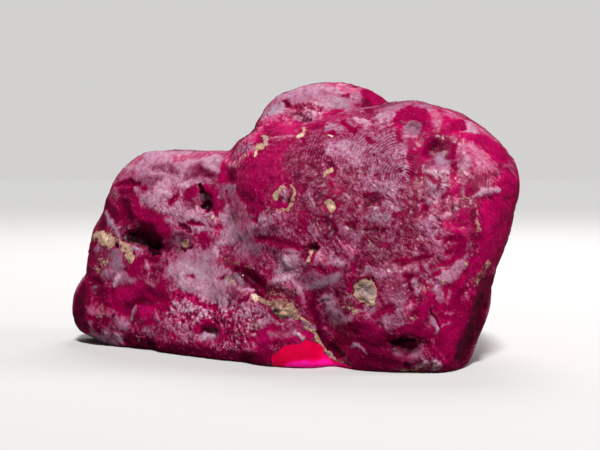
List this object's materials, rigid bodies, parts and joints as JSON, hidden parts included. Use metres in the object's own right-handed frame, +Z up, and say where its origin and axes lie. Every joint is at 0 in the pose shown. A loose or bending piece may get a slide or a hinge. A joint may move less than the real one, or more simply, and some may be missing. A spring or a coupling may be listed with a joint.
{
  "type": "raw ruby crystal",
  "caption": "Rounded lump of natural ruby with overlapping lobes, a waxy etched skin, pits and small patches of host rock. It rests on a flat face.",
  "frame": {"origin": "middle of the stone's width and depth, on the flat face that it rests on", "axes": "+X to the right along the longest side, -Y towards the front that shows the large block beside the lower shoulder, +Z up"},
  "size_m": [0.1416, 0.1086, 0.0853],
  "materials": {
    "ruby": "waxy and uneven: crimson ruby under a lilac etched skin, with tan host rock in the pits"
  },
  "bodies": {
    "root": {"ruby_crystal": "ruby"}
  },
  "joints": []
}
